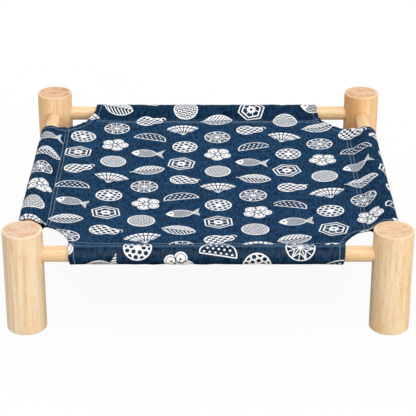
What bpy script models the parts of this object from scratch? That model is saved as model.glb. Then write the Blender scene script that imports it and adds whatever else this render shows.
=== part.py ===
"""Low square cat bed: turned wooden posts joined by rods, with a cloth stretched between the rods.

The origin is on the floor in the middle of the bed, +Z is up and the front faces -Y. Lengths are in metres.
"""
import math

import bmesh
import bpy
from mathutils import Vector

# Posts
POST_DIAMETER = 0.045
POST_HEIGHT = 0.122
POST_SPACING = 0.410          # between post axes, the same in both directions
POST_EDGE_RADIUS = 0.0015

# Rods and the blind sockets that they push into
ROD_DIAMETER = 0.018
ROD_HEIGHT = 0.092            # rod axis above the floor
ROD_END_CHAMFER = 0.001
SOCKET_CLEARANCE = 0.0004     # round the rod
SOCKET_END_GAP = 0.0005       # rod end to socket floor
SOCKET_WEB = 0.0012           # least wood between the two sockets of a post

# Cloth
CLOTH_THICKNESS = 0.001
CLOTH_GAP = 0.0003            # cloth to rod, and between sewn layers
SLEEVE_SLACK = 0.001          # how far the sleeve hangs off centre round its rod
SLEEVE_SLACK_ANGLE = math.radians(-35)
SEAM_TO_ROD = 0.012           # outer row of stitches to the side of the rod
SEAM_DROP = 0.001             # seam below the rod axis
STITCH_BAND = 0.0045          # width of the double row of stitches
PANEL_SAG = 0.006             # middle of the panel below its seams
BARE_ROD_FRONT = 0.0285       # bare front rod between post and sleeve
BARE_ROD_REAR = 0.0360
BARE_SIDE_FRONT = 0.0385      # bare side rod at its front end
BARE_SIDE_REAR = 0.0485
HEM_WIDTH = 0.007

# How finely curves are divided
POST_SEGMENTS = 72
ROD_SEGMENTS = 48
CUT_SEGMENTS = 96
PANEL_DIVISIONS = 22
HEM_DIVISIONS = 6
SLEEVE_ARC_STEPS = 28

# Worked out from the sizes above
HALF_SPACING = POST_SPACING / 2
POST_RADIUS = POST_DIAMETER / 2
ROD_RADIUS = ROD_DIAMETER / 2
SOCKET_RADIUS = ROD_RADIUS + SOCKET_CLEARANCE
SOCKET_FLOOR = SOCKET_RADIUS + SOCKET_WEB
ROD_LENGTH = 2 * (HALF_SPACING - SOCKET_FLOOR - SOCKET_END_GAP)
SEAM_INSET = ROD_RADIUS + SEAM_TO_ROD
SLEEVE_INSET = SEAM_INSET + STITCH_BAND
PANEL_HALF = HALF_SPACING - SLEEVE_INSET - CLOTH_GAP
PANEL_HEIGHT = ROD_HEIGHT - SEAM_DROP + CLOTH_THICKNESS / 2
CUTTER_HEIGHT = 4 * ROD_DIAMETER

# Sides of the bed, by the direction in which each one faces
SIDES = {"right": 0.0, "rear": math.pi / 2, "left": math.pi, "front": -math.pi / 2}
CORNERS = {"front_left": (-1, -1), "front_right": (1, -1), "rear_left": (-1, 1), "rear_right": (1, 1)}


def new_collection(name):
    collection = bpy.data.collections.new(name)
    bpy.context.scene.collection.children.link(collection)
    return collection


def new_material(name, colour, roughness):
    material = bpy.data.materials.new(name)
    material.use_nodes = True
    shader = material.node_tree.nodes["Principled BSDF"]
    shader.inputs["Base Color"].default_value = (*colour, 1.0)
    shader.inputs["Roughness"].default_value = roughness
    shader.inputs["Metallic"].default_value = 0.0
    material.diffuse_color = (*colour, 1.0)
    return material


def adopt(obj, name, collection, material=None):
    """Name an object, move it to its collection and give it its material."""
    obj.name = name
    obj.data.name = name
    for owner in list(obj.users_collection):
        owner.objects.unlink(obj)
    collection.objects.link(obj)
    if material:
        obj.data.materials.clear()
        obj.data.materials.append(material)
    return obj


def make_cutter(obj, name):
    """Keep an object as a hidden tool for Boolean cuts."""
    adopt(obj, name, cutters)
    obj.hide_render = True
    obj.display_type = "WIRE"
    return obj


def add_boolean(obj, tool, operation="DIFFERENCE"):
    cut = obj.modifiers.new(f"{operation.lower()} {tool.name}", "BOOLEAN")
    cut.operation = operation
    cut.solver = "EXACT"
    cut.object = tool
    return cut


def shade_round(obj, angle=math.radians(35)):
    obj.data.shade_smooth()
    obj.data.set_sharp_from_angle(angle=angle)


def add_cylinder(radius, depth, location, rotation=(0.0, 0.0, 0.0), segments=POST_SEGMENTS):
    bpy.ops.mesh.primitive_cylinder_add(vertices=segments, radius=radius, depth=depth, location=location,
                                        rotation=rotation)
    return bpy.context.active_object


def side_place(side, inboard=0.0, height=ROD_HEIGHT):
    """A point on the rod line of one side, and the turn that lays local Z along that rod."""
    angle = SIDES[side]
    reach = HALF_SPACING - inboard
    location = Vector((reach * math.cos(angle), reach * math.sin(angle), height))
    return location, (math.pi / 2, 0.0, angle)


def add_socket_cutter(corner, side):
    """The bore in the post at a corner for the rod of one side, from its floor out past the post."""
    sign_x, sign_y = CORNERS[corner]
    bore_length = POST_RADIUS - SOCKET_FLOOR + ROD_RADIUS
    reach = HALF_SPACING - SOCKET_FLOOR - bore_length / 2
    location, rotation = side_place(side)
    if side in ("front", "rear"):
        location.x = sign_x * reach
    else:
        location.y = sign_y * reach
    socket = add_cylinder(SOCKET_RADIUS, bore_length, location, rotation, ROD_SEGMENTS)
    return make_cutter(socket, f"socket_{corner}_{side}")


def add_post(corner):
    """A turned post with eased rims and a blind socket for each of its two rods."""
    sign_x, sign_y = CORNERS[corner]
    location = (sign_x * HALF_SPACING, sign_y * HALF_SPACING, POST_HEIGHT / 2)
    post = adopt(add_cylinder(POST_RADIUS, POST_HEIGHT, location), f"post_{corner}", parts, pine)
    shade_round(post)
    rim = post.modifiers.new("eased rims", "BEVEL")
    rim.width = POST_EDGE_RADIUS
    rim.segments = 3
    rim.limit_method = "ANGLE"
    rim.angle_limit = math.radians(60)
    for side in corner.split("_"):
        add_boolean(post, add_socket_cutter(corner, side))
    return post


def add_rod(side):
    """A plain round rod with chamfered ends, held by the sockets of two posts."""
    location, rotation = side_place(side)
    rod = adopt(add_cylinder(ROD_RADIUS, ROD_LENGTH, location, rotation, ROD_SEGMENTS), f"rod_{side}", parts, pine)
    shade_round(rod)
    chamfer = rod.modifiers.new("chamfered ends", "BEVEL")
    chamfer.width = ROD_END_CHAMFER
    chamfer.segments = 1
    chamfer.limit_method = "ANGLE"
    chamfer.angle_limit = math.radians(60)
    return rod


def add_corner_cutter(corner, extra=0.0):
    """The hollow cut round a post: an upright oval centred on the post's axis, larger by extra all round."""
    sign_x, sign_y = CORNERS[corner]
    half_x = POST_RADIUS + (BARE_ROD_FRONT if sign_y < 0 else BARE_ROD_REAR) + extra
    half_y = POST_RADIUS + (BARE_SIDE_FRONT if sign_y < 0 else BARE_SIDE_REAR) + extra
    location = (sign_x * HALF_SPACING, sign_y * HALF_SPACING, ROD_HEIGHT)
    oval = add_cylinder(1.0, CUTTER_HEIGHT, location, segments=CUT_SEGMENTS)
    oval.scale = (half_x, half_y, 1.0)
    bpy.ops.object.transform_apply(location=False, rotation=False, scale=True)
    kind = "hem" if extra else "cut"
    return make_cutter(oval, f"{kind}_{corner}")


def panel_drop(x, y):
    """How far the stretched panel hangs below its seams at a point of the bed."""
    return PANEL_SAG * (1 - (x / PANEL_HALF) ** 2) * (1 - (y / PANEL_HALF) ** 2)


def add_sheet(name, centre, half_size, divisions, lower=0.0):
    """A square piece of the panel's surface, given the cloth's thickness, lower by a set amount."""
    bpy.ops.mesh.primitive_grid_add(x_subdivisions=divisions, y_subdivisions=divisions, size=2 * half_size,
                                    location=(*centre, PANEL_HEIGHT - lower))
    sheet = adopt(bpy.context.active_object, name, parts, navy_cloth)
    for vertex in sheet.data.vertices:
        vertex.co.z = -panel_drop(centre[0] + vertex.co.x, centre[1] + vertex.co.y)
    wall = sheet.modifiers.new("cloth thickness", "SOLIDIFY")
    wall.thickness = CLOTH_THICKNESS
    wall.offset = 0.0
    sheet.data.shade_smooth()
    return sheet


def add_panel(corner_cutters):
    panel = add_sheet("bed_cloth", (0.0, 0.0), PANEL_HALF, PANEL_DIVISIONS)
    for cutter in corner_cutters.values():
        add_boolean(panel, cutter)
    return panel


def add_hem(corner, corner_cutter):
    """The strip turned under along a corner cut: the panel's surface one layer down, kept between two ovals."""
    sign_x, sign_y = CORNERS[corner]
    longest = max(BARE_ROD_FRONT, BARE_ROD_REAR, BARE_SIDE_FRONT, BARE_SIDE_REAR)
    half_size = (POST_RADIUS + longest + HEM_WIDTH - SLEEVE_INSET) / 2
    centre = (sign_x * (PANEL_HALF - half_size), sign_y * (PANEL_HALF - half_size))
    hem = add_sheet(f"hem_{corner}", centre, half_size, HEM_DIVISIONS, lower=CLOTH_THICKNESS + CLOTH_GAP)
    add_boolean(hem, add_corner_cutter(corner, extra=HEM_WIDTH), "INTERSECT")
    add_boolean(hem, corner_cutter)
    return hem


def tangent_angles(centre, radius, point, point_radius):
    """Directions from both circles' centres to where the upper and lower outer tangents touch them."""
    offset = Vector(centre) - Vector(point)
    heading = math.atan2(offset.y, offset.x)
    spread = math.acos((radius - point_radius) / offset.length)
    return heading + math.pi - spread, heading - math.pi + spread


def arc(centre, radius, start, end, steps):
    """Points of an arc, both ends included."""
    angles = [start + (end - start) * step / steps for step in range(steps + 1)]
    return [(centre[0] + radius * math.cos(angle), centre[1] + radius * math.sin(angle)) for angle in angles]


def sleeve_outlines():
    """Outer and inner outline of a sleeve: x points outboard from the rod axis and y upwards.

    The cloth passes over the rod, hangs round it with a little slack and comes back to the seam, where its two
    layers are sewn flat on each other over the width of the double row of stitches.
    """
    inner_radius = ROD_RADIUS + CLOTH_GAP + SLEEVE_SLACK
    outer_radius = inner_radius + CLOTH_THICKNESS
    centre = (SLEEVE_SLACK * math.cos(SLEEVE_SLACK_ANGLE), SLEEVE_SLACK * math.sin(SLEEVE_SLACK_ANGLE))
    seam = (-SEAM_INSET, -SEAM_DROP)
    upper, lower = tangent_angles(centre, outer_radius, seam, CLOTH_THICKNESS)
    outer = arc(centre, outer_radius, upper, lower, SLEEVE_ARC_STEPS)
    # The tangents leave the seam where the two layers spread apart
    lower_start = seam[0] + CLOTH_THICKNESS * math.cos(lower), seam[1] + CLOTH_THICKNESS * math.sin(lower)
    upper_start = seam[0] + CLOTH_THICKNESS * math.cos(upper), seam[1] + CLOTH_THICKNESS * math.sin(upper)
    outer += [lower_start,
              (-SLEEVE_INSET, seam[1] - CLOTH_THICKNESS),
              (-SLEEVE_INSET, seam[1] + CLOTH_THICKNESS),
              upper_start]
    inner = [seam] + arc(centre, inner_radius, upper, lower, SLEEVE_ARC_STEPS)
    return outer, inner


def add_sleeve(side, corner_cutters):
    """One side of the cloth, folded round its rod and sewn, with its ends cut by the corner ovals."""
    outline = bpy.data.curves.new(f"sleeve_{side}_outline", "CURVE")
    outline.dimensions = "2D"
    outline.fill_mode = "BOTH"
    outline.extrude = HALF_SPACING
    for points in sleeve_outlines():
        spline = outline.splines.new("POLY")
        spline.points.add(len(points) - 1)
        spline.use_cyclic_u = True
        for spline_point, (x, y) in zip(spline.points, points):
            spline_point.co = (x, y, 0.0, 1.0)
    guide = bpy.data.objects.new(outline.name, outline)
    guide.location, guide.rotation_euler = side_place(side)
    cutters.objects.link(guide)
    bpy.context.view_layer.update()
    mesh = bpy.data.meshes.new_from_object(guide.evaluated_get(bpy.context.evaluated_depsgraph_get()))
    shape = bmesh.new()
    shape.from_mesh(mesh)
    bmesh.ops.remove_doubles(shape, verts=shape.verts, dist=1e-6)
    bmesh.ops.recalc_face_normals(shape, faces=shape.faces)
    shape.to_mesh(mesh)
    shape.free()
    sleeve = bpy.data.objects.new(f"sleeve_{side}", mesh)
    sleeve.matrix_world = guide.matrix_world
    bpy.context.scene.collection.objects.link(sleeve)
    bpy.data.objects.remove(guide)
    adopt(sleeve, f"sleeve_{side}", parts, navy_cloth)
    shade_round(sleeve)
    for corner, cutter in corner_cutters.items():
        if side in corner:
            add_boolean(sleeve, cutter)
    return sleeve


for old in list(bpy.data.objects):
    bpy.data.objects.remove(old)

parts = new_collection("cat_bed")
cutters = new_collection("cutters")
pine = new_material("pine", (0.80, 0.58, 0.34), 0.55)
navy_cloth = new_material("navy_cloth", (0.020, 0.060, 0.150), 0.85)

for corner_name in CORNERS:
    add_post(corner_name)
for side_name in SIDES:
    add_rod(side_name)

cuts = {corner_name: add_corner_cutter(corner_name) for corner_name in CORNERS}
add_panel(cuts)
for side_name in SIDES:
    add_sleeve(side_name, cuts)
for corner_name in CORNERS:
    add_hem(corner_name, cuts[corner_name])
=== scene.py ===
"""Looks of a low cat bed: turned pine posts, dowel rods and a printed canvas stretched between the rods."""
import math

import bmesh
import bpy
import numpy as np
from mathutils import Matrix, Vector, geometry, kdtree, noise


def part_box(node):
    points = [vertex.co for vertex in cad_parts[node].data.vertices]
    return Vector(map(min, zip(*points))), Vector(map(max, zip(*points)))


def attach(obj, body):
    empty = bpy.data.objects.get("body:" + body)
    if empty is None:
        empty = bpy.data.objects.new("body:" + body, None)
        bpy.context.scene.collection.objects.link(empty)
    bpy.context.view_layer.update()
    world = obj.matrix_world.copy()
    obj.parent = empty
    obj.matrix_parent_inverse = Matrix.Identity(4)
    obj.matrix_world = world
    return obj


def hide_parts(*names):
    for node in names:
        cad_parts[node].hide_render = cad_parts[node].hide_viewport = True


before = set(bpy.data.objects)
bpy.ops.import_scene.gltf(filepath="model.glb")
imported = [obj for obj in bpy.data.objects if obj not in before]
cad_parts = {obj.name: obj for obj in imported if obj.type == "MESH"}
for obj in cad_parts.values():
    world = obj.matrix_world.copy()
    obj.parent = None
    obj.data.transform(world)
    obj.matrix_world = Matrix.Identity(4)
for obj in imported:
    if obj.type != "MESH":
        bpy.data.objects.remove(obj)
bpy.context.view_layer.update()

# The camera
# A long lens in front of the bed, looking down at it.
# Its place was worked out from the outlines of the four posts.
view_pitch = math.radians(25.777)
camera_data = bpy.data.cameras.new("camera")
camera_data.sensor_width = 36.0
camera_data.lens = 135.65
camera_data.clip_end = 20.0
camera = bpy.data.objects.new("camera", camera_data)
camera.location = (0.0, -1.74922, 0.89399)
camera.rotation_euler = (math.pi / 2 - view_pitch, 0.0, 0.0)
bpy.context.scene.collection.objects.link(camera)
bpy.context.scene.camera = camera


# The posts
# Four lengths of turned softwood, sanded and clear oiled, with eased rims and a blind hole for each rod.
# They are carried over from the frame, each cut from another part of the log, so that the figure differs.
def math_method(operation, swapped=False):
    """A method of Signal that adds one Math node, with its two values swapped where the signal comes second."""
    def add_node(self, *others):
        values = (self, *others)
        return self.math(operation, *(values[::-1] if swapped else values))
    return add_node


class Signal:
    """A socket of a material, so that arithmetic on sockets adds the Math nodes that it needs."""

    def __init__(self, tree, socket=None):
        self.tree = tree
        self.socket = socket

    def node(self, kind, settings=None, inputs=None, output=0):
        """Add a node with its settings, feed its sockets with values or signals, and return one output."""
        made = self.tree.nodes.new(kind)
        for name, value in (settings or {}).items():
            setattr(made, name, value)
        for name, value in (inputs or {}).items():
            socket = made.inputs[name]
            if isinstance(value, Signal):
                self.tree.links.new(value.socket, socket)
            else:
                socket.default_value = (*value, 1.0) if socket.type == "RGBA" else value
        return Signal(self.tree, made.outputs[output])

    def math(self, operation, *values):
        return self.node("ShaderNodeMath", {"operation": operation}, dict(enumerate(values)))

    def __neg__(self):
        return self * -1.0

    __add__, __radd__ = math_method("ADD"), math_method("ADD", True)
    __sub__, __rsub__ = math_method("SUBTRACT"), math_method("SUBTRACT", True)
    __mul__, __rmul__ = math_method("MULTIPLY"), math_method("MULTIPLY", True)
    __truediv__, __pow__, __abs__ = math_method("DIVIDE"), math_method("POWER"), math_method("ABSOLUTE")
    least, most = math_method("MINIMUM"), math_method("MAXIMUM")
    root, sine = math_method("SQRT"), math_method("SINE")
    whole, part = math_method("FLOOR"), math_method("FRACT")  # the whole number below, and what is above it

    def band(self, low, high):
        """Rise smoothly from 0 at low to 1 at high."""
        return self.node("ShaderNodeMapRange", {"interpolation_type": "SMOOTHSTEP"},
                         {"Value": self, "From Min": low, "From Max": high})

    def ridge(self, low, full, fading, high):
        """Rise smoothly from 0 at low to 1 at full, and fall again from fading to high."""
        return self.band(low, full) * (1.0 - self.band(fading, high))

    def between(self, first, second):
        """A colour that goes from the first to the second as this goes from 0 to 1."""
        return self.node("ShaderNodeMix", {"data_type": "RGBA"}, {0: self, 6: first, 7: second}, 2)

    def blend(self, factor, other):
        """This colour, turned into the other one by a factor from 0 to 1."""
        return factor.between(self, other)

    def shade(self, factor):
        """This colour times a number."""
        return self.node("ShaderNodeVectorMath", {"operation": "SCALE"}, {0: self, "Scale": factor})

    def axes(self):
        """The three numbers of this vector."""
        first = self.node("ShaderNodeSeparateXYZ", None, {0: self})
        return [Signal(self.tree, output) for output in first.socket.node.outputs]

    def joined(self, x, y, z=0.0):
        """A vector of three numbers."""
        return self.node("ShaderNodeCombineXYZ", None, {"X": x, "Y": y, "Z": z})

    def grain(self, scale=1.0, detail=2.0, roughness=0.5):
        """Noise read at this vector."""
        return self.node("ShaderNodeTexNoise", {"noise_dimensions": "3D"},
                         {"Vector": self, "Scale": scale, "Detail": detail, "Roughness": roughness})


def new_finish(name):
    """A material with its surface shader, and a signal to start its maths from."""
    finish = bpy.data.materials.new(name)
    finish.use_nodes = True
    return finish, finish.node_tree.nodes["Principled BSDF"], Signal(finish.node_tree)


def feed(shader, signal, socket):
    """Link a signal to a socket of a shader."""
    signal.tree.links.new(signal.socket, shader.inputs[socket])


def emboss(shader, relief, strength, depth):
    """Shade a surface as if a relief from 0 to 1 stood so many metres out of it."""
    bump = relief.node("ShaderNodeBump", None, {"Height": relief, "Strength": strength, "Distance": depth})
    feed(shader, bump, "Normal")


ring_drift = 0.010  # how far a growth ring wanders off its circle
heart_reach = (0.010, 0.028)  # from the pith: where the darker heartwood starts to fade and where it ends
pith_reach = (0.004, 0.011)  # the same of the dark middle of a cut end
rim_highlight_reach = (0.0193, 0.0208)  # from the axis: where the painted highlight on a cut end's eased rim starts and is full
end_depth = (0.0012, 0.0002)  # behind the end face: where the tones of a cut end start and are full
late_strength, streak_strength, fibre_strength, fleck_strength = 0.34, 0.60, 1.1, 0.85
pore_strength, pith_strength, rim_highlight_strength = 0.9, 0.7, 0.55
line_strength, line_patches = 0.24, 0.38  # of the rings on a cut end: everywhere, and added in patches
wood_relief = 0.0002
raw_roughness, polish = 0.50, 0.34  # polish is what full gloss takes off
raw_shine, polish_shine = 0.05, 0.55
resin_tone = (0.74, 0.34, 0.11)


def pine_finish(name, axis_point, turn, log, tones, end_reach, cut_tones, gloss):
    """Softwood with its grain along the axis of a piece, which lies at a point and is turned by some angles.

    log says how the piece lay in its log: how far along it, the pith beside the piece's axis, the width of a
    growth ring, how much darker the wood is towards the pith, and how strong its short flecks of resin are.
    tones are the pale, the middle and the late wood. Past end_reach along the grain the cut end shows, in its
    own tones. gloss is how far the wood is polished, from 0 to 1.
    """
    log_place, pith, ring_width, heartwood, flecked = log
    pale, middle, dark = tones
    cut_pale, cut_middle, cut_dark = cut_tones
    finish, shader, start = new_finish(name)
    place = start.node("ShaderNodeTexCoord", output="Object")
    local = start.node("ShaderNodeMapping", {"vector_type": "TEXTURE"},
                       {"Vector": place, "Location": axis_point, "Rotation": turn})
    x, y, z = local.axes()
    height = z + log_place

    def figure(across, along, detail=2.0, roughness=0.5):
        """Noise drawn out along the grain, by its scale across the grain and along it, for one metre."""
        return start.joined(x * across, y * across, height * along).grain(1.0, detail, roughness)

    off_circle = (figure(14.0, 5.0, 1.0) - 0.5) * ring_drift
    from_pith = ((x - pith[0]) ** 2.0 + (y - pith[1]) ** 2.0).root() + off_circle
    ring = (from_pith / ring_width).part()
    late = ring.ridge(0.35, 0.92, 0.92, 1.0)
    fibre = figure(900.0, 16.0, 3.0, 0.6)
    cloud = figure(55.0, 7.0)
    streak = figure(230.0, 13.0).band(0.48, 0.70)
    dash = figure(420.0, 36.0, 1.0).band(0.60, 0.72) * cloud.band(0.38, 0.58)
    fleck = figure(640.0, 90.0, 1.0).band(0.58, 0.68)
    body = cloud.band(0.34, 0.66).between(pale, middle)
    body = body.blend(late * late_strength, dark).blend(streak * streak_strength, dark)
    body = body.blend((fibre - 0.44).most(0.0) * fibre_strength, dark)
    body = body.blend((1.0 - from_pith.band(*heart_reach)) * heartwood, dark)
    body = body.blend(dash.most(fleck * fleck_strength) * flecked, resin_tone)

    pores = figure(1500.0, 40.0)
    spread = start.joined(x * 85.0, y * 120.0, height * 10.0).grain()
    ring_lines = ring.ridge(0.55, 0.90, 0.93, 1.0) * (line_strength + spread.band(0.40, 0.62) * line_patches)
    cut = spread.band(0.46, 0.68).between(cut_pale, cut_middle)
    cut = cut.blend(ring_lines, cut_dark).blend((pores - 0.5).most(0.0) * pore_strength, cut_dark)
    cut = cut.blend((1.0 - from_pith.band(*pith_reach)) * pith_strength, cut_middle)
    # Painted highlight: the eased rim of a cut end is blended towards the pale tone
    cut = cut.blend((x * x + y * y).root().band(*rim_highlight_reach) * rim_highlight_strength, pale)
    end = abs(z).band(end_reach - end_depth[0], end_reach - end_depth[1])
    feed(shader, body.blend(end, cut), "Base Color")
    feed(shader, raw_roughness - gloss * polish + fibre * 0.10 + end * 0.14, "Roughness")
    emboss(shader, (fibre * 0.5 + late * 0.5) * (1.0 - end) + pores * end, 0.35, wood_relief)
    shader.inputs["Specular IOR Level"].default_value = raw_shine + gloss * polish_shine
    return finish


post_gloss = 0.3
post_tones = {
    "front_left": ((0.92, 0.78, 0.57), (0.88, 0.69, 0.46), (0.81, 0.52, 0.26)),
    "front_right": ((0.91, 0.74, 0.50), (0.87, 0.65, 0.40), (0.80, 0.50, 0.23)),
    "rear_left": ((0.93, 0.72, 0.47), (0.90, 0.63, 0.37), (0.82, 0.49, 0.22)),
    "rear_right": ((0.95, 0.70, 0.42), (0.90, 0.60, 0.31), (0.77, 0.38, 0.14)),
}
end_tones = {
    "front_left": ((0.79, 0.57, 0.40), (0.71, 0.42, 0.27), (0.67, 0.38, 0.23)),
    "front_right": ((0.80, 0.56, 0.36), (0.73, 0.44, 0.25), (0.67, 0.38, 0.20)),
    "rear_left": ((0.76, 0.49, 0.30), (0.55, 0.24, 0.11), (0.59, 0.27, 0.12)),
    "rear_right": ((0.75, 0.52, 0.33), (0.59, 0.32, 0.16), (0.59, 0.30, 0.14)),
}
post_logs = {
    "front_left": (0.7, (-0.018, 0.003), 0.0060, 0.10, 0.34),
    "front_right": (1.6, (-0.005, 0.018), 0.0078, 0.05, 0.60),
    "rear_left": (2.3, (0.014, 0.010), 0.0050, 0.15, 0.45),
    "rear_right": (3.4, (-0.018, -0.009), 0.0085, 0.65, 0.55),
}
for corner, log in post_logs.items():
    low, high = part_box(f"post_{corner}")
    pine = pine_finish(f"pine_{corner}", tuple((low + high) / 2), (0.0, 0.0, 0.0), log, post_tones[corner],
                       (high.z - low.z) / 2, end_tones[corner], post_gloss)
    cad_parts[f"post_{corner}"].material_slots[0].material = pine

# The rods
# Plain 18 mm dowels of the same softwood, drawn along the grain and pushed into the posts' blind holes.
# They are carried over from the frame too, with their grain turned to run along each rod.
rod_gloss = 0.85
rod_ring_width, rod_flecks = 0.0030, 0.50
no_cut_end = 1.0  # far past a rod's ends, which are out of sight in the posts
dowel_tones = ((0.89, 0.67, 0.41), (0.86, 0.61, 0.34), (0.79, 0.46, 0.20))
rod_logs = {
    "front": (0.5, (0.016, 0.010)),
    "rear": (1.9, (-0.014, 0.012)),
    "left": (2.8, (0.011, -0.016)),
    "right": (4.1, (-0.013, -0.012)),
}
for side, log in rod_logs.items():
    low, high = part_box(f"rod_{side}")
    turn = (0.0, math.pi / 2, 0.0) if side in ("front", "rear") else (math.pi / 2, 0.0, 0.0)
    log = (*log, rod_ring_width, 0.0, rod_flecks)
    dowel = pine_finish(f"dowel_{side}", tuple((low + high) / 2), turn, log, dowel_tones, no_cut_end,
                        dowel_tones, rod_gloss)
    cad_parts[f"rod_{side}"].material_slots[0].material = dowel

# The cloth
# One piece of slubby cotton canvas. Its four sides are folded round the rods and sewn down under the panel,
# and its corners are cut out in ovals round the posts and hemmed. It is worked out flat, then laid in place.
low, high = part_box("rod_right")
rod_height = (low.z + high.z) / 2
rod_reach = (low.x + high.x) / 2  # middle of the bed to a rod's axis
rod_radius = (high.z - low.z) / 2
side_directions = {"front": (1, -1), "rear": (1, 1), "left": (0, -1), "right": (0, 1)}  # axis and sign
cloth_thickness = 0.0006
layer_gap = 0.0007  # from layer to layer where the cloth lies folded
fold_radius = layer_gap / 2
panel_sag = 0.006
panel_level = -0.0018  # stitched band of the panel, from the rod's axis
flap_level = panel_level - 2 * layer_gap
band_start = 0.0320  # folded edge of the flap to the rod's axis
turn_in = 0.005  # raw edge folded in between flap and panel
hem_width = 0.0065
panel_half = rod_reach - band_start
seams = {"front": 0.0180, "rear": 0.0180, "left": 0.0182, "right": 0.0192}  # from the rod's axis
cuts = {  # half width, half depth, fullness, the edge's lift by the side rod and by the other, and puff
    "front_left": (0.0500, 0.0655, 2.3, 0.0050, 0.0034, 0.0015),
    "front_right": (0.0530, 0.0585, 2.4, 0.0020, 0.0018, 0.0015),
    "rear_right": (0.0605, 0.0725, 1.8, 0.0058, 0.0026, 0.0015),
    "rear_left": (0.0560, 0.0695, 1.7, 0.0044, 0.0070, 0.0035),
}
rod_clearance = 0.0009  # of the cloth over the top of a rod
tight_sleeve, loose_sleeve = 0.0116, 0.0148  # reach outboard of the rod's axis
hang_lean = math.radians(-8.0)  # direction in which a sleeve hangs furthest out, from level
hang_focus = 1.7  # how many times narrower than the whole turn the hanging part is
wrap_start, wrap_end = 175.0, -225.0  # degrees above level
crown_crease, crease_turn, crease_spread = 0.0004, 60.0, 8.0  # height, and degrees above level
band_points, straight_points, wrap_points, fold_points, back_points = 6, 6, 30, 4, 2


def lengths_along(line):
    """How far along a line each of its points lies."""
    return np.concatenate([[0.0], np.cumsum(np.linalg.norm(np.diff(line, axis=0), axis=1))])


def read_along(line, lengths, wanted):
    """Values of a line that are known at some lengths, read at the wanted ones."""
    return np.stack([np.interp(wanted, lengths, column) for column in line.T], 1)


def unit(vectors):
    """Vectors, one to a row, brought to a length of 1."""
    return vectors / np.linalg.norm(vectors, axis=1)[:, None]


def bell(offset, width):
    """1 in the middle, falling to nothing past about twice the width."""
    return np.exp(-(offset / width) ** 2)


def ramp(distance, length):
    """0 up to a distance of 0, then rising evenly to 1 at the length."""
    return np.clip(distance / length, 0.0, 1.0)


def sleeve_section(seam, outermost):
    """Line of the cloth across a rod, from the band's inner edge over the rod to the flap's raw edge.

    Returns its points, x outboard from the rod's axis and y up, as many for any seam and outermost reach.
    """
    top = rod_radius + cloth_thickness / 2 + rod_clearance
    degrees = np.arange(wrap_start, wrap_end, -1.0)
    angles = np.radians(degrees)
    hang = 0.5 + 0.5 * np.cos(np.clip((angles - hang_lean) * hang_focus, -math.pi, math.pi))
    radius = top + (outermost - top) * hang + crown_crease * bell(degrees - crease_turn, crease_spread)
    loop = np.stack([radius * np.cos(angles), radius * np.sin(angles)], 1)
    upper_seam = np.array([-seam, panel_level])
    lower_seam = np.array([-seam, flap_level])
    upper, lower = degrees > 0, degrees < 0
    rise = np.arctan2(loop[upper, 1] - upper_seam[1], loop[upper, 0] - upper_seam[0])
    fall = np.arctan2(lower_seam[1] - loop[lower, 1], loop[lower, 0] - lower_seam[0])
    leave = int(np.argmax(rise))
    meet = len(loop) - lower.sum() + int(np.argmax(fall))
    wrap = read_along(loop, np.arange(len(loop)), np.linspace(leave, meet, wrap_points))
    share = np.linspace(0.0, 1.0, straight_points + 2)[1:-1, None]
    band = np.linspace(-band_start, -seam, band_points)
    fold = [(-band_start - fold_radius * math.sin(turn), flap_level + fold_radius * (1 - math.cos(turn)))
            for turn in np.linspace(0, math.pi, fold_points + 1)[1:]]
    back = [(-band_start + turn_in * (step + 1) / back_points, flap_level + layer_gap)
            for step in range(back_points)]
    line = np.concatenate([
        [(x, panel_level) for x in band],
        upper_seam + (wrap[0] - upper_seam) * share,
        wrap,
        wrap[-1] + (lower_seam - wrap[-1]) * share,
        [(x, flap_level) for x in band[::-1]],
        fold,
        back,
    ])
    soft = line.copy()
    last = len(line) - fold_points - back_points - 1
    soft[1:last] = line[1:last] * 0.5 + (line[:last - 1] + line[2:last + 1]) * 0.25
    return soft


sections = {side: (sleeve_section(seam, tight_sleeve), sleeve_section(seam, loose_sleeve))
            for side, seam in seams.items()}
# Lengths along the mean of all sections serve every side, so the cut cloth is a plain square
common = sum(tight + loose for tight, loose in sections.values()) / (2 * len(sections))
row_lengths = lengths_along(common)
fold_row = len(row_lengths) - fold_points - back_points - 1
crown, bottom = row_lengths[int(np.argmax(common[:, 1]))], row_lengths[int(np.argmin(common[:, 1]))]
band_width = row_lengths[band_points - 1]
flap_length = row_lengths[fold_row]  # from the band's inner edge to the flap's folded edge
cut_length = row_lengths[-1]  # the same to its raw edge
slack = {"front": 0.40, "rear": 0.40, "left": 0.50, "right": 0.76}  # at each sleeve's middle, from 0 to 1
slack_slope, slack_wander = 0.38, 0.16  # slope is what a side sleeve loses from its middle to the rear


def ripple(points, scale, seed):
    """Smooth noise of about -1 to 1 at points of the flat cloth."""
    return np.array([noise.noise(Vector((s * scale, t * scale, seed))) for s, t in points])


def wander(along, scale, seed):
    """The same noise along a straight line."""
    return ripple(np.stack([along, along * 0], 1), scale, seed)


def looseness(side, along):
    """How loosely the sleeve of a side hangs at a distance along its rod, from 0 to 1."""
    base = np.full_like(along, slack[side])
    if side in ("left", "right"):
        base -= along / rod_reach * slack_slope
    seed = 2.0 + 3.7 * list(seams).index(side)
    return np.clip(base + slack_wander * wander(along, 22.0, seed), 0.0, 1.0)


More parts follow.
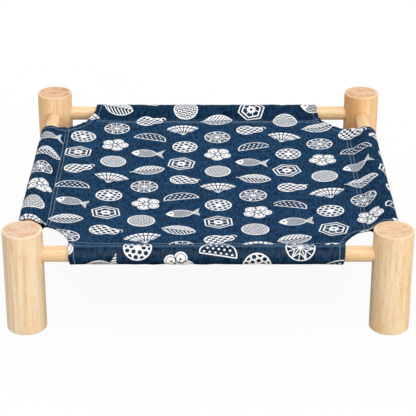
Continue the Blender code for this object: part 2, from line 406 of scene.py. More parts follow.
def lay(flat):
    """Places in space of points of the flat cloth, whose origin is its middle."""
    s, t = flat.T
    sag = panel_sag * np.clip(1 - (s / panel_half) ** 2, 0, 1) * np.clip(1 - (t / panel_half) ** 2, 0, 1)
    laid = np.stack([s, t, rod_height + panel_level - sag], 1)
    for side, (tight, loose) in sections.items():
        axis, sign = side_directions[side]
        chosen = flat[:, axis] * sign > panel_half
        if chosen.any():
            width = flat[chosen, axis] * sign - panel_half
            loosened = looseness(side, flat[chosen, 1 - axis])[:, None]
            section = (read_along(tight, row_lengths, width) * (1 - loosened)
                       + read_along(loose, row_lengths, width) * loosened)
            laid[chosen, axis] = sign * (rod_reach + section[:, 0])
            laid[chosen, 2] = rod_height + section[:, 1]
    return laid


def lay_normals(flat, step=0.0004):
    """Directions of the cloth's printed face at points of the flat cloth."""
    along_s = lay(flat + [step, 0.0]) - lay(flat - [step, 0.0])
    along_t = lay(flat + [0.0, step]) - lay(flat - [0.0, step])
    return unit(np.cross(along_s, along_t))


panel_fade, sleeve_fade = 0.008, 0.012  # widths over which unevenness dies out at a seam
frill_waves = ((11.0, 2.3, 0.5), (19.0, 5.1, 0.3), (34.0, 0.0, 0.3))  # rate, shift by corner, share
front_frill, rear_frill = 0.0005, 0.0012
right_shift, rear_shift = 1.7, 0.9  # so that no two corners wave alike
lift_fade, puff_fade, end_fade = 0.0105, 0.010, 0.009  # how far in from a hem each of them reaches
free_from_top, free_over_top = 0.008, 0.010  # inboard of a rod: where its hem comes free, and how soon
free_from_below, free_over_below = 0.013, 0.005
hem_rise, hem_edge = 0.0004, 0.0016  # height of a hem's folded-under layer, and width of its soft edge
puff_place, puff_width = 0.0155, 0.0055  # inboard of a rod
end_creases = ((0.017, 0.30), (0.031, -0.45))  # place along a sleeve from its end, and slope across it
crease_width, crease_length, crease_depth = 0.0032, 0.024, 0.0010
sleeve_unevenness, end_rise, panel_unevenness = 0.0005, 0.0005, 0.0007
hem_calm = 0.7  # share of a sleeve's unevenness that its hem takes off
least_oval = 0.05  # keeps a point near a post's axis from a division by nothing


def settle(flat):
    """Lay points and add what a taut cloth does: wavy hems, soft creases and a slightly uneven panel."""
    laid = lay(flat)
    rear, right = laid[:, 1] > 0, laid[:, 0] > 0
    nearest = np.where(rear, np.where(right, "rear_right", "rear_left"),
                       np.where(right, "front_right", "front_left"))
    half_x, half_y, fullness, side_lift, end_lift, puff = np.array([cuts[corner] for corner in nearest]).T
    from_x, from_y = (rod_reach - np.abs(laid[:, :2])).T
    oval = (np.abs(from_x / half_x) ** fullness + np.abs(from_y / half_y) ** fullness) ** (1 / fullness)
    distance = np.maximum(np.hypot(from_x, from_y) * (1 - 1 / np.maximum(oval, least_oval)), 0.0)
    angle = np.arctan2(from_y, from_x)
    beyond = np.abs(flat).max(axis=1) - panel_half
    upper = beyond < crown
    on_panel = ramp(panel_fade / 2 - beyond, panel_fade)
    on_sleeve = ramp(beyond - band_width, sleeve_fade) * ramp(flap_length - band_width - beyond, sleeve_fade)

    corner_shift = right * right_shift + rear * rear_shift
    frill = sum(np.sin(angle * waves + corner_shift * shift) * share for waves, shift, share in frill_waves)
    lift = end_lift + (side_lift - end_lift) * angle / (math.pi / 2)
    lift = lift + np.where(rear, rear_frill, front_frill) * frill
    inboard = np.minimum(from_x, from_y)
    free = ramp(inboard - np.where(upper, free_from_top, free_from_below),
                np.where(upper, free_over_top, free_over_below))
    laid[:, 2] += lift * np.exp(-distance / lift_fade) * free

    height = hem_rise * upper * ramp(hem_width + hem_edge / 2 - distance, hem_edge)
    for from_rod in (from_x, from_y):
        height += upper * puff * bell(from_rod - puff_place, puff_width) * np.exp(-distance / puff_fade)
    for start, slope in end_creases:
        for from_end, across in ((from_x - half_x, from_y), (from_y - half_y, from_x)):
            crease = bell(from_end - start - slope * across, crease_width)
            crease *= ramp(crease_length - np.abs(across), crease_length)
            height -= crease_depth * crease * on_sleeve * upper
    creases = ripple(flat, 75.0, 3.1) + 0.5 * ripple(flat, 160.0, 8.4)
    height += sleeve_unevenness * creases * on_sleeve * (1 - hem_calm * np.exp(-distance / puff_fade))
    height += end_rise * np.exp(-distance / end_fade) * on_sleeve
    height += panel_unevenness * ripple(flat, 13.0, 1.7) * on_panel
    return laid + lay_normals(flat) * height[:, None]


edge_step = 0.0017  # between points along the corner cuts
oval_points = 60
smoothing_reach = 4  # points to either side
end_flare = 0.0035  # how far the underside of a sleeve's end stands back


def even_steps(line, step):
    """The points of a line, respaced to about one step."""
    lengths = lengths_along(line)
    return read_along(line, lengths, np.linspace(0.0, lengths[-1], int(round(lengths[-1] / step)) + 1))


def corner_edge(corner):
    """Finished edge of a corner cut on the flat cloth, anticlockwise round it, and its inward directions."""
    side_y, side_x = corner.split("_")
    sign_x, sign_y = side_directions[side_x][1], side_directions[side_y][1]
    half_x, half_y, fullness = cuts[corner][:3]
    widths = row_lengths[:fold_row + 1]
    flare = end_flare * ramp(widths - crown, bottom - crown)
    outboard_y, outboard_x = (np.abs(sections[side][0][:fold_row + 1, 0]) for side in (side_y, side_x))
    end_x = rod_reach - half_x * (1 - (outboard_y / half_y) ** fullness) ** (1 / fullness) - flare
    end_y = rod_reach - half_y * (1 - (outboard_x / half_x) ** fullness) ** (1 / fullness) - flare
    turns = np.linspace(math.asin((band_start / half_y) ** (fullness / 2)),
                        math.acos((band_start / half_x) ** (fullness / 2)), oval_points)[1:-1]
    oval = np.stack([half_x * np.cos(turns) ** (2 / fullness), half_y * np.sin(turns) ** (2 / fullness)], 1)
    edge = np.concatenate([
        np.stack([end_x, panel_half + widths], 1)[::-1],
        rod_reach - oval,
        np.stack([panel_half + widths, end_y], 1),
    ]) * [sign_x, sign_y]
    if sign_x * sign_y > 0:
        edge = edge[::-1]
    edge = even_steps(edge, edge_step)
    heading = np.gradient(edge, axis=0)
    inward = np.stack([-heading[:, 1], heading[:, 0]], 1)
    inward[np.abs(edge[:, 1]) > panel_half] = [-sign_x * edge_step, 0.0]
    inward[np.abs(edge[:, 0]) > panel_half] = [0.0, -sign_y * edge_step]
    window = np.ones(2 * smoothing_reach + 1) / (2 * smoothing_reach + 1)
    inward = np.stack([np.convolve(np.pad(column, smoothing_reach, mode="edge"), window, "valid")
                       for column in inward.T], 1)
    return edge, unit(inward)


# Each corner cut gets a strip: rows of points along its edge, then round the fold and back under it
inset_rows = (0.0100, 0.0085, 0.0070, 0.0055, 0.0042, 0.0030, 0.0018, 0.0009, fold_radius)
fold_turns = (30.0, 60.0, 90.0, 120.0, 150.0, 180.0)
under_rows = (0.0015, 0.0030, 0.0048, hem_width)
shaded_turn = 60.0  # degrees round the fold at which its painted shade is full
turned_rows = [0.0] * (len(inset_rows) - 2) + [0.2, 0.5]  # how much painted shade each row gets, by how far it is turned out of the light
turned_rows += [min(turn / shaded_turn, 1.0) for turn in fold_turns] + [1.0] * len(under_rows)
hem_stitch_inset = 0.0058
cloth_points, cloth_flat, cloth_turned, cloth_faces = [], [], [], []
outline, hem_lines = [], {}
for corner in cuts:
    edge, inward = corner_edge(corner)
    beyond = np.abs(edge).max(axis=1) - panel_half
    hemmed = (beyond < 0.0) | ((beyond > band_width) & (beyond < flap_length - band_width))
    flats = [edge + inward * inset for inset in inset_rows]
    rows = [settle(flat) for flat in flats]
    rim, normals = rows[-1], lay_normals(flats[-1])
    outward = unit(rim - rows[-2])
    for turn in np.radians(fold_turns):
        around = outward * (fold_radius * math.sin(turn)) - normals * (fold_radius * (1 - math.cos(turn)))
        rows.append(rim + around)
        flats.append(edge + inward * (fold_radius * (1 - turn / math.pi * 2)))
    for inset in under_rows:
        beneath = edge + inward * inset
        rows.append(settle(beneath) - lay_normals(beneath) * layer_gap)
        flats.append(edge - inward * inset)
    first, columns = len(cloth_points), len(edge)
    cloth_points.extend(point for row in rows for point in row)
    cloth_flat.extend(point for flat in flats for point in flat)
    cloth_turned.extend(turned for turned in turned_rows for _ in range(columns))
    for row in range(len(rows) - 1):
        for column in range(columns - 1):
            if row < len(inset_rows) - 1 or (hemmed[column] and hemmed[column + 1]):
                start = first + row * columns + column
                cloth_faces.append((start, start + columns, start + columns + 1, start + 1))
    hem_lines[corner] = edge + inward * hem_stitch_inset
    outline.append(flats[0])

# The rest of the flat cloth lies between the strips, with the raw edge of each flap folded in between them
panel_points = 104
line_gap, border_gap = 0.0015, 0.0010  # least distance of the grid's lines and points from a strip
inside_only, same_point, weld_distance = 1, 1e-7, 2e-6
panel_lines = np.linspace(-panel_half, panel_half, panel_points)
lines = np.concatenate([-panel_half - row_lengths[:0:-1], panel_lines, panel_half + row_lengths[1:]])


def flap_point(axis, sign, width, along):
    """A point of the flat cloth at a width past the panel on one side, and so far along that side."""
    point = [along, along]
    point[axis] = sign * (panel_half + width)
    return point


turned_in = row_lengths[fold_row + 1:]
border = []
for strip, following, side in zip(outline, outline[1:] + outline[:1], ("front", "right", "rear", "left")):
    axis, sign = side_directions[side]
    border.extend(strip)
    start, end = strip[-1][1 - axis], following[0][1 - axis]
    low, high = sorted((start, end))
    between = lines[(lines > low + line_gap) & (lines < high - line_gap)]
    if start > end:
        between = between[::-1]
    border.extend(flap_point(axis, sign, width, start) for width in turned_in)
    border.extend(flap_point(axis, sign, cut_length, along) for along in between)
    border.extend(flap_point(axis, sign, width, end) for width in turned_in[::-1])
border = np.array(border)

grid = np.stack(np.meshgrid(lines, lines), -1).reshape(-1, 2)
crossings = np.zeros(len(grid), int)
for (s0, t0), (s1, t1) in zip(border, np.roll(border, -1, axis=0)):
    if t0 != t1:
        spans = (grid[:, 1] > min(t0, t1)) & (grid[:, 1] <= max(t0, t1))
        crossings += spans & (grid[:, 0] < s0 + (grid[:, 1] - t0) * (s1 - s0) / (t1 - t0))
grid = grid[crossings % 2 == 1]
tree = kdtree.KDTree(len(border))
for index, (s, t) in enumerate(border):
    tree.insert((s, t, 0.0), index)
tree.balance()
grid = np.array([(s, t) for s, t in grid if tree.find((s, t, 0.0))[2] > border_gap])
points = [Vector(point) for point in np.concatenate([border, grid])]
rim = [(index, (index + 1) % len(border)) for index in range(len(border))]
meshed = geometry.delaunay_2d_cdt(points, rim, [], inside_only, same_point)
flat = np.array([tuple(point) for point in meshed[0]])
first = len(cloth_points)
cloth_points.extend(settle(flat))
cloth_flat.extend(flat)
cloth_turned.extend([0.0] * len(flat))
cloth_faces.extend(tuple(first + index for index in face) for face in meshed[2])


def add_mesh(name, points, faces):
    """A new object from points in place and the faces between them."""
    mesh = bpy.data.meshes.new(name)
    mesh.from_pydata([tuple(point) for point in points], [], faces)
    piece = bpy.data.objects.new(name, mesh)
    bpy.context.scene.collection.objects.link(piece)
    return piece


canvas = add_mesh("canvas", cloth_points, cloth_faces)
cloth_mesh = canvas.data
flat_map = cloth_mesh.uv_layers.new(name="flat_cloth")
corner_verts = np.empty(len(cloth_mesh.loops), int)
cloth_mesh.loops.foreach_get("vertex_index", corner_verts)
flat_map.data.foreach_set("uv", np.array(cloth_flat)[corner_verts].astype(np.float32).ravel())
turned_under = cloth_mesh.attributes.new("turned_under", "FLOAT", "POINT")
turned_under.data.foreach_set("value", np.array(cloth_turned, np.float32))
for polygon in cloth_mesh.polygons:
    loop = np.array([cloth_flat[index] for index in polygon.vertices])
    following = np.roll(loop, -1, axis=0)
weld = bmesh.new()
weld.from_mesh(cloth_mesh)
bmesh.ops.remove_doubles(weld, verts=weld.verts, dist=weld_distance)
weld.to_mesh(cloth_mesh)
weld.free()
cloth_mesh.shade_smooth()
wall = canvas.modifiers.new("cloth thickness", "SOLIDIFY")
wall.thickness = cloth_thickness
wall.offset = 0.0
wall.material_offset = 1
wall.use_rim = True

# The cloth's weave and colour, on the flat cloth's own map in metres
yarn_pitch = 0.00062
navy_shade = (0.0032, 0.0182, 0.0525)
navy_light = (0.0183, 0.0672, 0.1460)
slub_grey = (0.095, 0.110, 0.135)
# The back's tones are partly the cloth's own and partly painted shade, darkened for the shadowed inside of the
# sleeves
back_shade = (0.0050, 0.0150, 0.0350)
back_light = (0.0120, 0.0310, 0.0650)
back_slub = (0.040, 0.055, 0.075)
ink_white = (0.95, 0.95, 0.955)
sheen_grey = (0.10, 0.10, 0.11)  # painted sheen: a greyer tone where a sleeve bends towards the light
# Painted highlight where the front sleeve's crown catches the light
highlight_blue = (0.20, 0.32, 0.50)
yarn_contrast, coarse_contrast, patch_contrast = 1.8, 3.0, 0.9
slub_strength = 0.4
weave_relief = 0.00018
cloth_shine = 0.03


def weave(flat, shader, ground, light, slub_tone, streaked=0.0):
    """Slubby plain weave of uneven yarns both ways between two tones: its colour, and how light it is."""
    u, v, _ = flat.axes()

    def uneven(scale_u, scale_v, shift, detail, roughness=0.5):
        """Noise with a scale of its own each way."""
        return flat.joined(u * scale_u, v * scale_v, shift).grain(1.0, detail, roughness)

    weft = uneven(60.0, 900.0, 0.0, 3.0, 0.65)
    warp = uneven(900.0, 60.0, 7.0, 3.0, 0.65)
    coarse = uneven(430.0, 95.0, 3.0, 2.0, 0.6)
    slubs = uneven(620.0, 75.0, 5.0, 1.0).band(0.62, 0.76)
    bars = uneven(110.0, 520.0, 9.0, 2.0, 0.6)
    patches = uneven(34.0, 34.0, 1.0, 2.0)
    level = 0.5 + (coarse - 0.5) * (coarse_contrast + streaked) + (patches - 0.5) * patch_contrast
    for yarn in (weft, warp, bars):
        level = level + (yarn - 0.5) * yarn_contrast
    yarn_turn = 2 * math.pi / yarn_pitch
    yarns = (u * yarn_turn).sine() * (v * yarn_turn).sine()
    emboss(shader, (weft + warp) * 0.6 + slubs * 0.3 + yarns * 0.25, 0.5, weave_relief)
    shader.inputs["Specular IOR Level"].default_value = cloth_shine
    return level.between(ground, light).blend(slubs * slub_strength, slub_tone), level


# The print's motifs, each drawn in millimetres about its own middle: the numbers place and size its lines
edge_slope = 2.6  # how sharply the ink ends, for each millimetre


def inked(distance):
    """1 inside a shape and 0 outside, from the distance to its outline."""
    return distance.node("ShaderNodeMath", {"operation": "MULTIPLY_ADD", "use_clamp": True},
                         {0: distance, 1: -edge_slope, 2: 0.5})


def stroke(distance, half_width):
    """A line along an outline, from the distance to it."""
    return inked(abs(distance) - half_width)


def reach(x, y):
    """Distance of a point from the middle."""
    return (x * x + y * y).root()


def bearing(x, y):
    """Angle of a point from straight up, clockwise."""
    return x.math("ARCTAN2", x, y)


def folded(value, pitch):
    """How far a value is past the middle of its repeat, where it repeats at a pitch."""
    return ((value / pitch).part() - 0.5) * pitch


def slanted(x, y):
    """Distances of a point from the two lines through the middle that lean 60 degrees either way."""
    return x * 0.866 + y * 0.5, x * 0.866 - y * 0.5


def stripes(value, pitch, share):
    """Bars across a value: a share of each pitch is ink."""
    return stroke(folded(value, pitch), share * pitch / 2)


def wave_scales(x, y, radius, share):
    """Rows of overlapping arcs, each row in front of the one above it."""
    row = (y / (radius / 2)).whole()
    near = reach(folded(x + (row + 1.0) * radius, 2 * radius), y - (row - 1.0) * (radius / 2))
    far = reach(folded(x + row * radius, 2 * radius), y - row * (radius / 2))
    covered = near.math("LESS_THAN", near, radius)
    return stripes(near * covered + far * (1.0 - covered), radius / 2, share)


def fan(x, y):
    """Open folding fan: a pleated cover over bare ribs."""
    cover_spread, rib_spread, pleat_turn = 0.86, 0.78, 0.215
    y = y + 13.0
    out, turn = reach(x, y), bearing(x, y)
    cover = (out - 26.0).most(11.0 - out).most((abs(turn) - cover_spread) * out)
    pleats = stroke(folded(turn, pleat_turn) * out, 0.55)
    arc = stroke(out - 20.5, 0.9)
    ribs = (out - 11.2).most((abs(turn) - rib_spread) * out).most(1.2 - out)
    ribs = inked(ribs.most(abs(folded(turn + rib_spread, rib_spread / 2)) * out - 0.5))
    return inked(cover) * (1.0 - pleats) * (1.0 - arc) + ribs


def fish(x, y):
    """Fish with scaled body, plain head and striped tail."""
    body = reach(x + 3.0, abs(y) + 7.6) - 16.4
    tail = (abs(y) * 0.8 - (x - 8.0) * 0.75).most(x - 16.5 - abs(y) * 0.30)
    head = inked(reach(x + 19.5, y) - 10.5)
    eye = inked(reach(x + 12.5, y - 1.4) - 1.4)
    full = inked(body)
    scaled = (full * head * (1.0 - eye)).most(full * (1.0 - head) * wave_scales(x, y, 4.6, 0.34))
    return scaled.most(stroke(body, 0.5)).most(inked(tail) * stripes(y, 2.8, 0.6))


def blossom(x, y):
    """Five round petals about a ringed heart."""
    petal_turn = 2 * math.pi / 5
    turn, out = folded(bearing(x, y), petal_turn), reach(x, y)
    petal_x, petal_y = out * turn.sine(), out * (turn + math.pi / 2).sine()
    petal = reach(petal_x, petal_y - 8.8) - 6.7
    ring = stroke(out - 3.2, 0.6)
    stamen = inked(reach(petal_x, petal_y - 8.2) - 1.1)
    stamen = stamen.most(inked((abs(petal_x) - 0.4).most(abs(petal_y - 5.6) - 2.2)))
    gap = inked(((petal_turn / 2 - abs(turn)) * out - 0.45).most(5.2 - out)).most(stroke(petal + 1.9, 0.35))
    return inked(petal.least(out - 6.0)) * (1.0 - ring) * (1.0 - stamen) * (1.0 - gap)


def leaf(x, y):
    """Broad leaf with one half of close side veins and one half of open ones."""
    blade = reach(x, abs(y) + 9.5) - 20.0
    rib = stroke(y, 0.55)
    vein_place, vein_pitch = x - abs(y) * 0.9, 4.4
    upper = inked(-y) * stripes(vein_place, vein_pitch, 0.64)
    lower = inked(y) * stripes(vein_place, vein_pitch, 0.36)
    stalk = inked((abs(y) - 0.6).most(abs(x + 19.5) - 2.8))
    return (inked(blade) * (upper + lower) * (1.0 - rib)).most(stroke(blade, 0.5)).most(stalk)


def thread_ball(x, y):
    """Ball wound with thread in three directions."""
    out = reach(x, y)
    lattice = stripes(y, 5.4, 0.20)
    for across in slanted(x, y):
        lattice = lattice.most(stripes(across, 5.4, 0.20))
    return stroke(out - 13.6, 0.7).most(inked(out - 13.0) * lattice).most(inked(out - 3.4))


def gourd(x, y):
    """Bottle gourd in checks, lying on its side, with a curled stalk."""
    lower, upper = reach(x + 4.5, y) - 10.6, reach(x - 9.0, y) - 6.4
    body = lower.math("SMOOTH_MIN", lower, upper, 4.5)
    checks = (((x / 3.7).whole() + (y / 3.7).whole()) * 0.5).part() * 2.0
    stalk = stroke(reach(x - 16.2, y - 3.0) - 3.0, 0.6) * inked(1.0 - y)
    return (inked(body) * checks).most(stroke(body, 0.6)).most(stalk)


def tortoise_shell(x, y):
    """Six-sided shell plate: nested outlines, spokes and a plain middle."""
    plate = (abs(y) * 0.866 + abs(x) * 0.5).most(abs(x))
    spokes = stroke(y, 0.45)
    for across in slanted(x, y):
        spokes = spokes.most(stroke(across, 0.45))
    rings = stroke(plate - 13.7, 0.7).most(stroke(plate - 9.8, 0.8))
    return rings.most(inked(plate - 9.4) * spokes).most(inked(plate - 4.8)) * (1.0 - inked(reach(x, y) - 1.7))


def wave_disc(x, y):
    """Round window on a sea of waves, in navy on white."""
    out = reach(x, y)
    return inked(out - 14.4) * (1.0 - wave_scales(x, y, 5.8, 0.52) * inked(out - 13.2))


def hemp_star(x, y):
    """Outlined roundel with a six-rayed star of straight lines."""
    turn, out = folded(bearing(x, y), math.pi / 3), reach(x, y)
    ray_x, ray_y = abs(out * turn.sine()), out * (turn + math.pi / 2).sine()
    star = inked(ray_x - 0.45).most(stroke(ray_x * 0.94 - (14.0 - ray_y) * 0.34, 0.45))
    star = star.most(inked(abs(ray_x - ray_y * 0.577) * 0.866 - 0.40))
    return (star * inked(out - 13.6)).most(stroke(out - 14.2, 0.6))


def dotted_hill(x, y):
    """Half-round hill in outline, scattered with dots."""
    dot_pitch, row_step = 5.6, 4.4
    y = y + 7.0
    hill = (reach(x * 0.86, y) - 16.0).most(-y)
    dot_x = folded(x + (y / row_step).whole() * (dot_pitch / 2), dot_pitch)
    dots = inked(reach(dot_x, folded(y, row_step)) - 1.15) * inked(hill + 1.6)
    return stroke(hill, 0.55).most(dots)


motifs = (fan, wave_disc, blossom, hemp_star, leaf, fish, dotted_hill, gourd, tortoise_shell, thread_ball)
column_pitch, row_pitch = 44.0, 49.0  # millimetres; each column is half a pitch off the last
column_start, row_start = 0.22, 0.85  # where the print starts, in pitches
motif_scale, motif_wander, motif_tilt = 1.12, 2.2, 0.30


def printed_ink(flat):
    """White ink of the print at a point of the flat cloth: one motif to each cell of staggered columns.

    A sine of a cell's own column and row moves and tilts its motif a little.
    """
    u, v, _ = flat.axes()
    across = u * (1000.0 / column_pitch) + column_start
    column = across.whole()
    down = v * (1000.0 / row_pitch) + column * 0.5 + row_start
    row = down.whole()
    cell_x = (across.part() - 0.5) * column_pitch + (column * 7.3 + row * 3.1).sine() * motif_wander
    cell_y = (down.part() - 0.5) * row_pitch + (column * 4.1 + row * 5.9).sine() * motif_wander
    tilt = (column * 2.3 + row * 1.7).sine() * motif_tilt
    cosine, sine = (tilt + math.pi / 2).sine() / motif_scale, tilt.sine() / motif_scale
    x = cell_x * cosine + cell_y * sine
    y = cell_y * cosine - cell_x * sine
    kind = (((column * 3.0 + row + 0.5) / len(motifs)).part() * len(motifs)).whole()
    ink = sum(motif(x, y) * kind.math("COMPARE", kind, number, 0.4) for number, motif in enumerate(motifs))
    return ink.most(0.0).least(1.0)


canvas_face, shader, start = new_finish("canvas_face")
flat_coordinates = start.node("ShaderNodeUVMap", {"uv_map": "flat_cloth"})
u, v, _ = flat_coordinates.axes()
past_band = v - (panel_half + band_width)
past_crown = abs(v) - (panel_half + crown)
past_bottom = abs(v) - (panel_half + bottom)
past_seams = abs(u).most(abs(v)) - (panel_half + band_width)
# Masks that place the sleeves' painted shade and painted highlights; outer also makes the weave more streaked
outer = past_crown.band(-0.002, 0.007)
# A strip past the crown that gets a painted sheen and a painted highlight
lit = past_crown.ridge(0.0045, 0.0115, 0.0125, 0.0180)
# Painted highlight along the crown, mostly in front
crown_highlight = past_crown.ridge(-0.0035, -0.0005, 0.0025, 0.0055) * (1.0 - v.band(-0.01, 0.01) * 0.8)
shades = (  # places of the sleeves, and how much painted light or shade the cloth gets there
    (past_seams.band(-0.001, 0.001) * (1.0 - outer), -0.16),  # every sleeve, past its stitched band: painted shade
    (past_band.band(-0.010, 0.001) * (1.0 - outer), -0.20),  # the rear's stitched band and sleeve: painted shade
    (outer, -0.33),  # past the crown, front and rear: painted shade where the sleeve turns from the light
    (lit, 0.09),  # a strip of that: painted highlight where it catches the light
    (past_bottom.band(-0.0160, -0.0112), -0.20),  # the lower half, front and rear: painted shade
    (past_band.ridge(-0.001, 0.001, 0.004, 0.009), -0.08),  # the foot of the rear sleeve: painted shade
)
# Strengths of the painted sheen and of the painted highlight on the crown
sheen_strength, highlight_strength = 0.20, 0.24
yarn_show = 0.06  # how much of the ink the lighter yarns keep off
fold_shade = 0.70  # how dark the painted shade is where a fold turns the cloth under
bare_roughness, ink_smoothness, back_roughness = 0.92, 0.12, 0.95
ground, level = weave(flat_coordinates, shader, navy_shade, navy_light, slub_grey, outer)
ground = ground.blend(lit * sheen_strength, sheen_grey).blend(crown_highlight * highlight_strength, highlight_blue)
ground = ground.shade(1.0 + sum(place * change for place, change in shades))
ink = printed_ink(flat_coordinates)
turned = start.node("ShaderNodeAttribute", {"attribute_name": "turned_under"}, output="Fac")
printed = ground.blend(ink * (1.0 - (level - 0.5) * yarn_show), ink_white)
# Painted shade on each hem's fold, by how far it is turned under
feed(shader, printed.shade(1.0 - turned * fold_shade), "Base Color")
feed(shader, bare_roughness - ink * ink_smoothness, "Roughness")

# The cloth's back, darkened as painted shade for the insides of the sleeves
canvas_back, shader, start = new_finish("canvas_back")
flat_coordinates = start.node("ShaderNodeUVMap", {"uv_map": "flat_cloth"})
ground, level = weave(flat_coordinates, shader, back_shade, back_light, back_slub)
feed(shader, ground, "Base Color")
shader.inputs["Roughness"].default_value = back_roughness
cloth_mesh.materials.append(canvas_face)
cloth_mesh.materials.append(canvas_back)

# The stitches
# Grey cotton thread: a double row that holds each flap under the panel, and a row round each corner's hem.
# Each stitch is a short length of thread that dips into the cloth at both ends, on the face and underneath.
thread_radius = 0.00020
stitch_pitch = 0.0028
stitch_length = 0.0027
stitch_dip = 0.00024  # of a stitch's ends below its middle
stitch_stand = 0.6  # how far a stitch's middle stands out of the cloth, in radii of the thread
sewing_step = 0.0008
thread_shade, thread_light = (0.31, 0.37, 0.44), (0.40, 0.47, 0.54)
thread_relief = 0.0001
row_distances = {  # of the two rows beside each rod, from its axis
    "front": (0.0208, 0.0280),
    "rear": (0.0258, 0.0306),
    "left": (0.0192, 0.0232),
    "right": (0.0202, 0.0250),
}
row_points, row_wander = 120, 0.0002
row_overrun = 0.003  # past the hem's own row
row_clearance = 0.001  # from a hem's row under the panel to the flap's edge
crossing_reach = 0.004  # to either side of a band's inner edge, where a hem's row is looked up
bpy.ops.object.select_all(action="DESELECT")
bpy.ops.mesh.primitive_cylinder_add(vertices=6, radius=0.5, depth=1.0, rotation=(0.0, math.pi / 2, 0.0))
template = bpy.context.active_object
bpy.ops.object.transform_apply(location=False, rotation=True, scale=False)
bpy.ops.object.mode_set(mode="EDIT")
bpy.ops.mesh.select_all(action="SELECT")
bpy.ops.mesh.subdivide(number_cuts=1)
bpy.ops.object.mode_set(mode="OBJECT")
stitch_shape = np.array([tuple(vertex.co) for vertex in template.data.vertices])
stitch_shape *= [stitch_length, 2 * thread_radius, 2 * thread_radius]
stitch_shape[:, 2] -= stitch_dip * (stitch_shape[:, 0] / (stitch_length / 2)) ** 2
stitch_faces = [tuple(polygon.vertices) for polygon in template.data.polygons]
bpy.data.objects.remove(template)


def sew(path, below):
    """Points and faces of stitches along a path on the flat cloth, on its face or so far below the face."""
    path = even_steps(path, sewing_step)
    line, normals = settle(path), lay_normals(path)
    if below:
        normals = -normals
        line = line + normals * below
    line = line + normals * (cloth_thickness / 2 + thread_radius * stitch_stand)
    lengths = lengths_along(line)
    middles = np.arange(stitch_pitch / 2, lengths[-1], stitch_pitch)
    steps = (0.0, -stitch_pitch / 3, stitch_pitch / 3)
    middle, behind, ahead = (read_along(line, lengths, middles + step) for step in steps)
    along = unit(ahead - behind)
    across = unit(np.cross(read_along(normals, lengths, middles), along))
    up = np.cross(along, across)
    x, y, z = stitch_shape.T[:, None, :, None]
    points = middle[:, None] + along[:, None] * x + across[:, None] * y + up[:, None] * z
    faces = [tuple(index + number * len(stitch_shape) for index in face)
             for number in range(len(middle)) for face in stitch_faces]
    return points.reshape(-1, 3), faces


def add_stitches(name, paths):
    """One piece of all the stitches along some paths, each with how far below the cloth's face it runs."""
    points, faces = [], []
    for path, below in paths:
        more_points, more_faces = sew(path, below)
        faces.extend(tuple(index + len(points) for index in face) for face in more_faces)
        points.extend(more_points)
    stitches = add_mesh(name, points, faces)
    stitches.data.shade_smooth()
    stitches.data.materials.append(thread)
    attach(stitches, "root")
    return stitches


thread, shader, start = new_finish("thread")
fuzz = start.node("ShaderNodeTexCoord", output="Object").grain(2600.0)
feed(shader, fuzz.band(0.3, 0.7).between(thread_shade, thread_light), "Base Color")
emboss(shader, fuzz, 0.5, thread_relief)
shader.inputs["Roughness"].default_value = 0.8

seam_paths = []
for side, distances in row_distances.items():
    axis, sign = side_directions[side]
    crossings = [line[np.abs(np.abs(line[:, axis]) - panel_half) < crossing_reach]
                 for corner, line in hem_lines.items() if side in corner]
    end = min(np.abs(crossing[:, 1 - axis]).min() for crossing in crossings) + row_overrun
    along = np.linspace(-end, end, row_points)
    for distance in distances:
        for width in (band_start - distance, flap_length - (band_start - distance)):
            path = np.empty((len(along), 2))
            path[:, 1 - axis] = along
            path[:, axis] = sign * (panel_half + width) + row_wander * wander(along, 60.0, width * 900)
            seam_paths.append((path, 0.0))
seam_stitches = add_stitches("seam_stitches", seam_paths)

hem_paths = []
for line in hem_lines.values():
    beyond = np.abs(line).max(axis=1) - panel_half
    hem_paths.append((line[beyond < flap_length - band_width], 0.0))
    hem_paths.append((line[beyond < -row_clearance], layer_gap))
hem_stitches = add_stitches("hem_stitches", hem_paths)

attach(canvas, "root")
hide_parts("bed_cloth", *(f"sleeve_{side}" for side in seams), *(f"hem_{corner}" for corner in cuts))

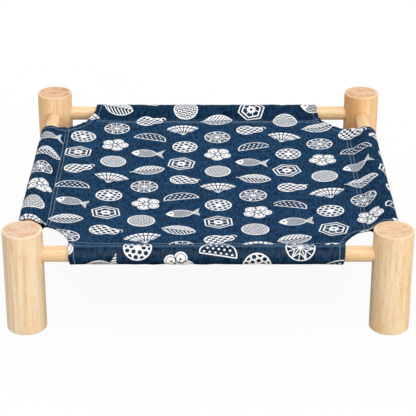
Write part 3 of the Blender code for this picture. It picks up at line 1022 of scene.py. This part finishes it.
# The studio
# A pale floor that keeps the bed's shadow, a white surround, and soft light from above and all round.
floor_radius = 6.0
floor_gap = 0.0003  # below the posts' feet
floor_shade = (0.45, 0.42, 0.40)  # as it lights the bed
floor_shown = (0.90, 0.90, 0.90)
floor_glow = 0.93  # share of plain white in what the camera sees of the floor
surround_light = 0.74
white, warm = (1.0, 1.0, 1.0), (1.0, 0.985, 0.965)
bpy.ops.mesh.primitive_circle_add(vertices=64, radius=floor_radius, fill_type="NGON",
                                  location=(0.0, 0.0, -floor_gap))
floor = bpy.context.active_object
floor.name = "floor"
floor_finish, shader, start = new_finish("floor")
shader.inputs["Roughness"].default_value = 0.9
shader.inputs["Specular IOR Level"].default_value = 0.1
seen = start.node("ShaderNodeLightPath", output="Is Camera Ray")
feed(shader, seen.between(floor_shade, floor_shown), "Base Color")
glow = start.node("ShaderNodeEmission", None, {"Color": white, "Strength": 1.0})
surface = Signal(start.tree, shader.outputs[0])
mixed = start.node("ShaderNodeMixShader", None, {0: seen * floor_glow, 1: surface, 2: glow})
feed(start.tree.nodes["Material Output"], mixed, "Surface")
floor.data.materials.append(floor_finish)

surround = bpy.data.worlds.new("surround")
bpy.context.scene.world = surround
surround.use_nodes = True
start = Signal(surround.node_tree)
shown = start.node("ShaderNodeLightPath", output="Is Camera Ray")
for ray in ("Is Glossy Ray", "Is Transmission Ray"):
    shown = shown.most(start.node("ShaderNodeLightPath", output=ray))
background = start.tree.nodes["Background"]
background.inputs["Color"].default_value = (*white, 1.0)
feed(background, shown * (1.0 - surround_light) + surround_light, "Strength")


def add_lamp(name, compass, elevation, spread, level, colour):
    """A soft distant light from a compass angle, anticlockwise from the front, and a height, in degrees."""
    lamp_data = bpy.data.lights.new(name, "SUN")
    lamp_data.angle = math.radians(spread)
    lamp_data.energy = level * math.pi
    lamp_data.color = colour
    lamp = bpy.data.objects.new(name, lamp_data)
    lamp.rotation_euler = (math.radians(90.0 - elevation), 0.0, math.radians(compass))
    bpy.context.scene.collection.objects.link(lamp)


add_lamp("key", 2.0, 58.0, 22.0, 0.22, white)
add_lamp("fill", 28.0, 14.0, 50.0, 0.38, warm)
add_lamp("side", 85.0, 15.0, 50.0, 0.12, warm)
add_lamp("back", 190.0, 30.0, 60.0, 0.12, white)

bpy.context.scene.view_settings.view_transform = "Standard"
